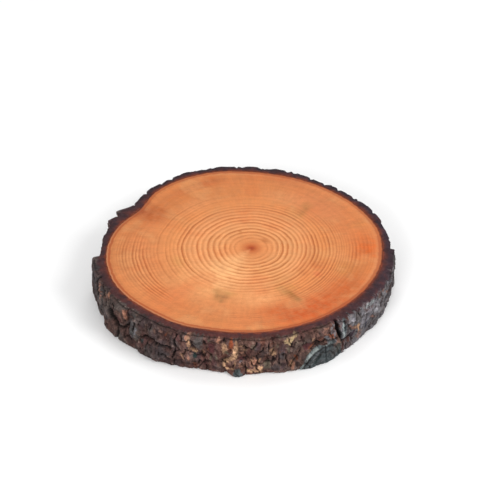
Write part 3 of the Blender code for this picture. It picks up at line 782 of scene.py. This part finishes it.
# what the bark's skin is at each spot: layers that scale off, creases, small flakes, grain, and a raggedness
def barkSkin(spots):
    settings = barkSettings
    skin = {name: np.zeros(len(spots)) for name in
            ("layer", "crease", "open", "lift", "edge", "pick", "stray", "grain", "ragged")}
    half = Vector((0.5, 0.5, 0.5))
    for i, spot in enumerate(spots):
        spot = Vector(spot)
        bent = spot + noise.noise_vector(spot / settings["bendSize"]) * settings["bend"]
        frayed = bent + noise.noise_vector(spot / settings["fraySize"]) * settings["fray"]
        skin["layer"][i] = noise.fractal(inCells(bent, settings["layerSize"]), *settings["layerNoise"])
        skin["crease"][i] = noise.noise(inCells(frayed, settings["creaseSize"]))
        skin["open"][i] = noise.noise(spot / settings["openSize"])
        cell = inCells(frayed, settings["flakeSize"])
        distances, centres = noise.voronoi(cell)
        lot = noise.cell_vector(centres[0] * sliceForm["plateLot"])
        tilt = (cell - centres[0]).dot(lot - half)
        skin["lift"][i] = (lot.x - 0.5) * settings["flakeRange"] + tilt * settings["flakeTilt"]
        skin["edge"][i] = distances[1] - distances[0]
        skin["pick"][i], skin["stray"][i] = lot.y, lot.z
        skin["grain"][i] = noise.noise(spot / settings["grainSize"])
        skin["ragged"][i] = noise.fractal(spot / settings["raggedSize"], *settings["raggedNoise"])
    return skin


def cracks(angle, z, ragged):  # how deep each spot is in a crack
    settings = barkSettings
    radius = woodRadius(angle)
    here, deepest = np.stack([np.radians(angle) * radius, z], 1), np.zeros(len(angle))
    for width, depth, *points in settings["cracks"]:
        corners = [np.stack([np.radians(turn) * radius, np.full(len(angle), float(height))], 1)
                   for turn, height in points]
        away, run = np.full(len(angle), np.inf), np.zeros(len(angle))
        for i, (a, b) in enumerate(zip(corners, corners[1:])):
            line = b - a
            share = np.clip(((here - a) * line).sum(1) / (line * line).sum(1), 0, 1)
            reach = np.hypot(*(here - a - line * share[:, None]).T)
            run = np.where(reach < away, (i + share) / (len(corners) - 1), run)
            away = np.minimum(away, reach)
        taper = width * (1 - settings["crackTaper"] * np.abs(2 * run - 1) ** 3)  # narrower at both ends
        away = away + settings["crackWobble"] * ragged
        deepest = np.maximum(deepest, depth * (1 - ease(away, settings["crackFloor"] * taper, taper)))
    return deepest


def flakeColours(angle, pick, stray):
    settings = barkSettings
    starts = [start for start, _ in settings["flakeTones"]]
    region = np.searchsorted(starts, (angle + (stray - 0.5) * settings["toneDrift"]) % 360, side="right") - 1
    colours = np.zeros((len(angle), 4))
    for i, (_, names) in enumerate(settings["flakeTones"]):
        tones = np.array([paint(barkTones[name]) for name in names.split()])
        plain = tones.mean(0)
        show = roundTheTree(settings["flakeShow"], angle)[:, None].clip(0, 1)
        drawn = tones[(pick * len(tones)).astype(int).clip(0, len(tones) - 1)]
        colours = np.where((region == i)[:, None], plain + (drawn - plain) * show, colours)
    return colours


# the marks of the seen side, and more by lot on the rest
def allMarks():
    settings = barkSettings
    marks = list(settings["marks"])
    chance = random.Random(settings["rearSeed"])
    for _ in range(settings["rearMarks"]):
        tone = chance.choice(settings["rearTones"])
        wide, tall = chance.uniform(0.8, 4.0), chance.uniform(1, 6)
        marks.append((chance.uniform(*settings["rearSpan"]), chance.uniform(1, 33), wide, tall,
                      chance.uniform(-40, 40), tone, chance.uniform(0.4, 0.9), chance.uniform(0, 0.5)))
    return marks


def laidMarks(angle, z, ragged, onCurl):  # gives the colours of the marks, and how deep they are sunk
    settings = barkSettings
    colours = dab(np.zeros((len(angle), 4)), barkTones["slate"], settings["curlCover"] * onCurl)
    sunk = np.zeros(len(angle))
    girth = woodRadius(angle) + settings["markGirth"]
    for middle, height, wide, tall, turn, tone, strength, sink in allMarks():
        x, y = np.radians(turnApart(angle, middle)) * girth, z - height
        c, s = math.cos(math.radians(turn)), math.sin(math.radians(turn))
        away = np.hypot((x * c + y * s) / wide, (y * c - x * s) / tall)
        if tone in settings["greyHalo"] + settings["brownHalo"]:
            reach = away / settings["haloReach"] + settings["haloRagged"] * ragged
            halo = 1 - ease(reach, *settings["markEdge"])
            around = "lilac" if tone in settings["greyHalo"] else "brown"
            colours = dab(colours, barkTones[around], settings["haloStrength"] * strength * halo)
        cover = 1 - ease(away + settings["markRagged"] * ragged, *settings["markEdge"])
        colours = dab(colours, barkTones[tone], strength * cover)
        sunk += sink * cover
    return colours, np.clip(sunk, *settings["markDepths"])


def curledFlake(angle, z, ragged):  # gives its lift, where it is, the painted highlight on one side of its rim, and the painted shade in the seams between its layers
    settings = barkSettings
    middle, height, halfTurn, halfHeight = settings["curl"]
    turn = turnApart(angle, middle) - settings["curlLean"] * np.maximum(z - settings["curlLeansFrom"], 0)
    away = np.hypot(turn / halfTurn, (z - height) / halfHeight) + settings["curlRagged"] * ragged
    layers, edge = settings["curlLayers"], settings["curlLayerEdge"]
    on = 1 - ease(away, settings["curlEnd"], 1)
    lift = sum(settings["curlStep"] * (1 - ease(away, end - edge, end + edge)) for end in layers)
    # a painted highlight on one side of the rim, and painted shade in the seams between the layers
    rim = ease(away, *settings["curlRimStarts"]) * (1 - ease(away, *settings["curlRimEnds"]))
    rim = rim * ease(-turn, *settings["curlRimTurn"])
    seamShade = sum(np.exp(-((away - end - edge) / settings["curlSeam"]) ** 2) for end in layers[1:])
    return lift - settings["curlBack"] * on, on, rim, seamShade


# a closed loop of (across the bark, height): the side from the top down, the foot, the inner wall, the top
def barkSection():
    settings = barkSettings
    rows, crowd = settings["sideRows"], settings["rowCrowding"]
    shares = [i / rows for i in range(rows + 1)]
    eased = [u * (1 - crowd) + crowd * (1 - math.cos(math.pi * u)) / 2 for u in shares]
    side = [(1, 1 - share) for share in eased]
    foot = [(1 - i / settings["footRows"], 0) for i in range(1, settings["footRows"] + 1)]
    top = [(i / settings["topRows"], 1) for i in range(settings["topRows"])]
    return side + foot + top


def barkThickness(angle, z, named, common, cut):
    form = sliceForm
    foot, top = roundTheTree(form["barkFoot"], angle), roundTheTree(form["barkTop"], angle)
    thick = foot + (top - foot) * ease(z, 0, thickness) + named + lumps(angle, z) + common - cut
    for reach, height in ((thickness - z, roundTheTree(form["wornEdge"], angle)), (z, form["wornFoot"])):
        drop = np.clip(1 - reach / height, 0, 1)
        thick -= form["wornDepth"] * height * (1 - np.sqrt(1 - drop * drop))
    return thick


def blurred(sheet, columns, rows):  # the mean round each spot of a sheet that closes on itself sideways
    turned = sum(np.roll(sheet, i, 0) for i in range(-columns, columns + 1)) / (2 * columns + 1)
    padded = np.pad(turned, ((0, 0), (rows, rows)), "edge")
    return sum(padded[:, i:i + sheet.shape[1]] for i in range(2 * rows + 1)) / (2 * rows + 1)


def makeBark():
    settings, form = barkSettings, sliceForm
    section = [(1 + across, z) for across, z in barkSection()]
    bark = spinSection("bark_ring", section, settings["columns"], settings["sectors"], closed=True)
    mesh = bark.data
    at = places(mesh)
    angle = np.degrees(np.arctan2(at[:, 1], at[:, 0])) % 360
    across = (np.hypot(at[:, 0], at[:, 1]) - 1).clip(0, 1)
    z = at[:, 2] * thickness
    layUvInTiles(mesh, angle, len(section))
    column = np.rint(angle / 360 * settings["columns"]).astype(int) % settings["columns"]
    grid = np.empty((settings["columns"], len(section)), int)
    grid[column, np.rint(readMark(mesh, "alongSection")).astype(int)] = np.arange(len(at))

    spots = onTheTree(angle, z, woodRadius(angle))
    skin = barkSkin(spots)
    layer, ragged = skin["layer"], skin["ragged"]
    lift, fissure = commonPlates(spots)
    curl, onCurl, curlRimHighlight, curlSeamShade = curledFlake(angle, z, ragged)
    marks, sunk = laidMarks(angle, z, ragged, onCurl)
    rear = 1 - ease(angle, *settings["seenFrom"]) * (1 - ease(angle, *settings["seenTo"]))
    fissure *= settings["seenFissures"] + (settings["rearFissures"] - settings["seenFissures"]) * rear

    named = proudPlates(angle, z)
    cut = cracks(angle, z, ragged)
    quiet = 1 - form["plateCover"] * ease(named, 0, form["proudEnough"])
    thick = barkThickness(angle, z, named, quiet * (lift - fissure * form["fissureDepth"]), cut)

    # the skin: shelves where layers have scaled off, creases between them, and small flakes
    steps = layer * settings["layerSteps"]
    level = np.floor(steps)
    rest = steps - level
    shelf = level + ease(rest, 0, settings["layerEdge"]) + settings["layerLean"] * (rest - 1)
    relief = shelf * settings["layerRise"]
    crease = 1 - ease(np.abs(skin["crease"]), 0, settings["creaseWidth"])
    crease = crease * ease(skin["open"], *settings["openFrom"])
    relief -= crease * settings["creaseDepth"]
    seam = 1 - ease(skin["edge"], 0, settings["flakeSeam"])
    scaly = roundTheTree(settings["flakeShow"], angle) * (1 - 0.8 * onCurl)
    relief += scaly * (skin["lift"] - seam * settings["flakeSeamDepth"])
    relief += skin["grain"] * settings["grain"] - sunk

    # the skin stands no further out, on the whole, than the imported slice
    side = grid[:, :settings["sideRows"] + 1]
    spare = np.zeros(len(at))
    spare[grid] = blurred(relief[side].mean(1, keepdims=True), settings["levelTurn"], 0)
    relief -= spare + settings["levelBack"]
    low = settings["skinAtRim"]
    grown = low + (1 - low) * ease(thickness - z, 0, settings["skinGrowsOver"])
    thick += curl + relief * grown * (1 - 0.5 * onCurl)
    thick = np.maximum(thick, form["leastBark"] * settings["leastShare"])

    # how hollow the skin is at each spot: against its wider and its near surroundings
    cavity = np.zeros(len(at))
    for columns, rows, weight in settings["surroundings"]:
        cavity[side] += weight * (blurred(thick[side], columns, rows) - thick[side])

    inner = woodRadius(angle) + settings["gap"]
    radius = inner + across * (woodRadius(angle) + thick - inner)
    outermost = across > 0.999
    onTop, onFoot = z > thickness - 1e-3, (z < 1e-3) & ~outermost
    rimThick = np.zeros(len(at))
    rimThick[grid] = thick[grid[:, :1]]
    fromWood = across * rimThick + np.where(outermost, thickness - z, 0)
    dip = settings["sawnDip"] * ease(across, 0.15, 1) * (0.5 + 0.5 * ragged).clip(0, 1)
    dip = np.where(outermost, settings["sawnDip"], dip)
    z = np.where(onTop, z - dip, np.where(onFoot, z + dip, z))
    placed = onTheTree(angle, z, radius) * mm
    for axis in (0, 1, 2):
        placed[:, axis] = placed[:, axis].clip(cadBox[0][axis], cadBox[1][axis])
    mesh.vertices.foreach_set("co", placed.ravel())

    reach = roundTheTree(settings["sawnReach"], angle)
    sawn = 1 - ease(fromWood, reach - 1.2 + 2.4 * ragged, reach + 0.8 + 2.4 * ragged)
    sawn = np.where(onFoot | (across < 0.001), 1.0, sawn)
    # painted shade: darker in hollows, creases, fissures and cracks
    hollowShade = 0.8 * ease(cavity, 0.12, 0.9) + 0.5 * fissure * quiet + 0.6 * crease
    hollowShade = hollowShade * (1 - 0.7 * onCurl) + ease(cut, 0.4, 2.0)
    # painted highlight on the curled flake's rim, and painted shade in the seams between its layers
    colours = dab(marks, barkTones["paleSlate"], 0.9 * curlRimHighlight * ease(ragged, -0.6, 0.1))
    colours = settle(dab(colours, barkTones["creviceShade"], 0.8 * curlSeamShade * onCurl))
    sawnTones = np.array([paint(code) for code in settings["sawnTones"]])
    writeMark(mesh, "hollowShade", hollowShade.clip(0, 1))
    # painted highlight where the skin stands above its surroundings
    writeMark(mesh, "lipHighlight", ease(-cavity, 0.1, 0.8))
    writeMark(mesh, "layer", layer)
    writeMark(mesh, "sawn", sawn)
    writeMark(mesh, "across", across)
    writeTint(mesh, "flake", flakeColours(angle, skin["pick"], skin["stray"]))
    writeTint(mesh, "mark", colours)
    writeTint(mesh, "sawnTone", np.stack([roundTheTree(part, angle) for part in sawnTones.T], 1))
    mesh.shade_smooth()
    mesh.set_sharp_from_angle(angle=math.radians(settings["sharpFrom"]))
    return bark


# the bake's map: nine tiles of 40 degrees, three by three, each with the whole section from end to end
def layUvInTiles(mesh, angle, sectionCount):
    wide, margin = barkSettings["tileTurn"], barkSettings["tileMargin"]
    layer = mesh.uv_layers.new(name="OFBake")
    along = readMark(mesh, "alongSection")
    corners = np.empty(len(mesh.loops), int)
    mesh.loops.foreach_get("vertex_index", corners)
    turns, runs = angle[corners].reshape(-1, 4), along[corners].reshape(-1, 4)
    middle = turns[:, :1] + turnApart(turns, turns[:, :1]).mean(1, keepdims=True)
    turns = middle + turnApart(turns, middle) - 360 * np.floor(middle / 360)
    middle = middle % 360
    wrapping = (runs.max(1) - runs.min(1)) > sectionCount / 2
    runs = np.where(wrapping[:, None] & (runs < 1), sectionCount, runs)
    tile = np.floor(middle / wide)
    u = (tile % 3 + margin + (1 - 2 * margin) * (turns - tile * wide) / wide) / 3
    v = (tile // 3 + margin + (1 - 2 * margin) * runs / sectionCount) / 3
    layer.data.foreach_set("uv", np.stack([u, v], 2).ravel())


# the sawn faces: smooth and maroon in patches, redder next to the wood
def sawnBark(tree, place, blotch, speck):
    patches = put(tree, "ShaderNodeTexNoise", {"Vector": place, "Scale": 150.0, "Detail": 5.0}).outputs["Fac"]
    across = calc(tree, "ADD", readBack(tree, "across"), stretch(tree, patches, 0.3, 0.7, -0.05, 0.05))
    tone = readBack(tree, "sawnTone", "Color")
    for value, low, high, most, name in (
            (across, 0.75, 0.3, 1.0, "sawnMiddle"), (across, 0.34, 0.08, 1.0, "sawnNearWood"),
            (across, 0.1, 0.02, 1.0, "sawnAtWood"), (patches, 0.5, 0.66, 0.5, "sawnDark"),
            (patches, 0.47, 0.34, 0.4, "sawnRed")):
        tone = blend(tree, stretch(tree, value, low, high, 0.0, most), tone, paint(barkSettings[name]))
    tone = lighten(tree, tone, stretch(tree, blotch, 0.36, 0.62, 0.84, 1.1))
    pale = stretch(tree, speck, 0.58, 0.7, 0.0, 0.15)
    tone = blend(tree, pale, tone, paint(barkSettings["sawnSpeck"]))
    return lighten(tree, tone, stretch(tree, speck, 0.3, 0.7, 0.9, 1.08))


def weatheredBark():
    settings = barkSettings
    material, tree, shader = newMaterial("pine_bark")
    place = put(tree, "ShaderNodeTexCoord").outputs["Object"]
    sizes = {"Place": place, "Blotch Size": 11.0, "Speck Size": 2.6, "Grit Size": 0.8}
    mixed = put(tree, "ShaderNodeGroup", sizes, node_tree=mottle)
    blotch, speck, grit = (mixed.outputs[name] for name in ("Blotch", "Speck", "Grit"))

    # weathered flakes, redder where a layer has come off and greyer where it has stayed
    layer = readBack(tree, "layer")
    colour = readBack(tree, "flake", "Color")
    for value, low, high, most, name in (
            (layer, 0.0, -0.5, 0.4, "bareTone"), (layer, 0.1, 0.6, 0.4, "stayedTone"),
            (speck, 0.57, 0.7, 0.5, "paleSpeck"), (speck, 0.46, 0.34, 0.6, "darkSpeck")):
        share = calc(tree, "MULTIPLY", stretch(tree, value, low, high), most)
        colour = blend(tree, share, colour, paint(settings[name]))

    # the marks, broken up and uneven
    tint = lighten(tree, readBack(tree, "mark", "Color"), stretch(tree, speck, 0.3, 0.7, 0.72, 1.22))
    cover = readBack(tree, "mark", "Alpha")
    cover = calc(tree, "MULTIPLY_ADD", calc(tree, "SUBTRACT", speck, 0.5), 0.5, cover)
    cover = calc(tree, "MULTIPLY_ADD", calc(tree, "SUBTRACT", grit, 0.5), 0.3, cover)
    colour = blend(tree, stretch(tree, cover, 0.2, 0.85, 0.0, 0.94), colour, tint)

    # painted highlight on the raised lips, painted shade in hollows and cracks
    shade = calc(tree, "MULTIPLY", stretch(tree, grit, 0.3, 0.7, 0.82, 1.18),
                 stretch(tree, speck, 0.3, 0.7, 0.85, 1.12))
    shade = calc(tree, "MULTIPLY", shade, stretch(tree, blotch, 0.36, 0.62, 0.76, 1.12))
    shade = calc(tree, "MULTIPLY_ADD", readBack(tree, "lipHighlight"), 0.35, shade)
    colour = lighten(tree, colour, shade)
    darkened = calc(tree, "MULTIPLY", readBack(tree, "hollowShade"), 0.92)
    colour = blend(tree, darkened, colour, paint(settings["hollowShadeTone"]))
    colour = blend(tree, readBack(tree, "sawn"), colour, sawnBark(tree, place, blotch, speck))

    height = calc(tree, "ADD", calc(tree, "MULTIPLY", speck, 0.7), calc(tree, "MULTIPLY", grit, 0.3))
    soft = calc(tree, "MULTIPLY_ADD", readBack(tree, "sawn"), -0.7, 1.0)
    inputs = {"Height": calc(tree, "MULTIPLY", height, soft), "Strength": 0.6, "Distance": 1.0 * mm}
    raised = put(tree, "ShaderNodeBump", inputs).outputs[0]
    tree.links.new(colour, shader.inputs["Base Color"])
    tree.links.new(raised, shader.inputs["Normal"])
    rough = stretch(tree, speck, 0.3, 0.7, 0.95, 0.8)
    rough = calc(tree, "MULTIPLY_ADD", readBack(tree, "sawn"), -0.2, rough)
    tree.links.new(rough, shader.inputs["Roughness"])
    shader.inputs["Specular IOR Level"].default_value = settings["gloss"]
    return material


bark = makeBark()
bark.data.materials.append(weatheredBark())
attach(bark, "root")
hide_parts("bark")
print("stage: bark", len(bark.data.polygons), "faces")

studioSettings = {
    "cameraTilt": 36.87, "cameraAway": 2200, "lens": 198, "sensor": 36, "pithRight": 1.12, "pithUp": 1.44,
    "nearestSeen": 0.05,
    "floorReach": 3.0, "floorTone": "f9f9f9", "floorRoughness": 0.9,
    "skyStrength": 0.56,
    # place, what it is aimed at, size, power
    "softboxes": (((-0.7, -1.9, 1.1), (0, 0, 0.02), 0.9, 26), ((1.3, -0.7, 1.3), (0, 0, 0.02), 0.9, 18),
                  ((0.1, 0.9, 1.8), (0, 0, 0.02), 1.2, 8)),
}


def lookAt(thing, target):
    thing.rotation_euler = (Vector(target) - thing.location).to_track_quat("-Z", "Y").to_euler()


def makeFloor():
    bm = bmesh.new()
    bmesh.ops.create_grid(bm, x_segments=1, y_segments=1, size=studioSettings["floorReach"],
                          matrix=Matrix.Translation((0, 0, cadBox[0].z)))
    mesh = bpy.data.meshes.new("floor")
    bm.to_mesh(mesh)
    bm.free()
    floor = bpy.data.objects.new("floor", mesh)
    bpy.context.scene.collection.objects.link(floor)
    material, tree, shader = newMaterial("pale_floor")
    shader.inputs["Base Color"].default_value = paint(studioSettings["floorTone"])
    shader.inputs["Roughness"].default_value = studioSettings["floorRoughness"]
    mesh.materials.append(material)


def makeLights():
    for i, (spot, aim, size, power) in enumerate(studioSettings["softboxes"]):
        lamp = bpy.data.lights.new("softbox" + str(i), "AREA")
        lamp.shape = "SQUARE"
        lamp.size = size
        lamp.energy = power
        holder = bpy.data.objects.new(lamp.name, lamp)
        holder.location = spot
        bpy.context.scene.collection.objects.link(holder)
        lookAt(holder, aim)
    world = bpy.data.worlds.new("studio")
    world.use_nodes = True
    world.node_tree.nodes["Background"].inputs["Color"].default_value = (1, 1, 1, 1)
    world.node_tree.nodes["Background"].inputs["Strength"].default_value = studioSettings["skyStrength"]
    bpy.context.scene.world = world


def makeCamera():
    settings = studioSettings
    camera = bpy.data.cameras.new("camera")
    camera.lens = settings["lens"]
    camera.sensor_width = settings["sensor"]
    camera.clip_start = settings["nearestSeen"]
    eye = bpy.data.objects.new("camera", camera)
    bpy.context.scene.collection.objects.link(eye)
    tilt = math.radians(settings["cameraTilt"])
    right, up = Vector((1, 0, 0)), Vector((0, math.sin(tilt), math.cos(tilt)))
    back = Vector((0, -math.cos(tilt), math.sin(tilt)))
    pith = Vector((0, 0, thickness * mm))
    target = pith - (right * settings["pithRight"] + up * settings["pithUp"]) * mm
    eye.location = target + back * settings["cameraAway"] * mm
    lookAt(eye, target)
    bpy.context.scene.camera = eye
    bpy.context.scene.view_settings.view_transform = "Standard"


makeFloor()
makeLights()
makeCamera()
print("stage: studio")
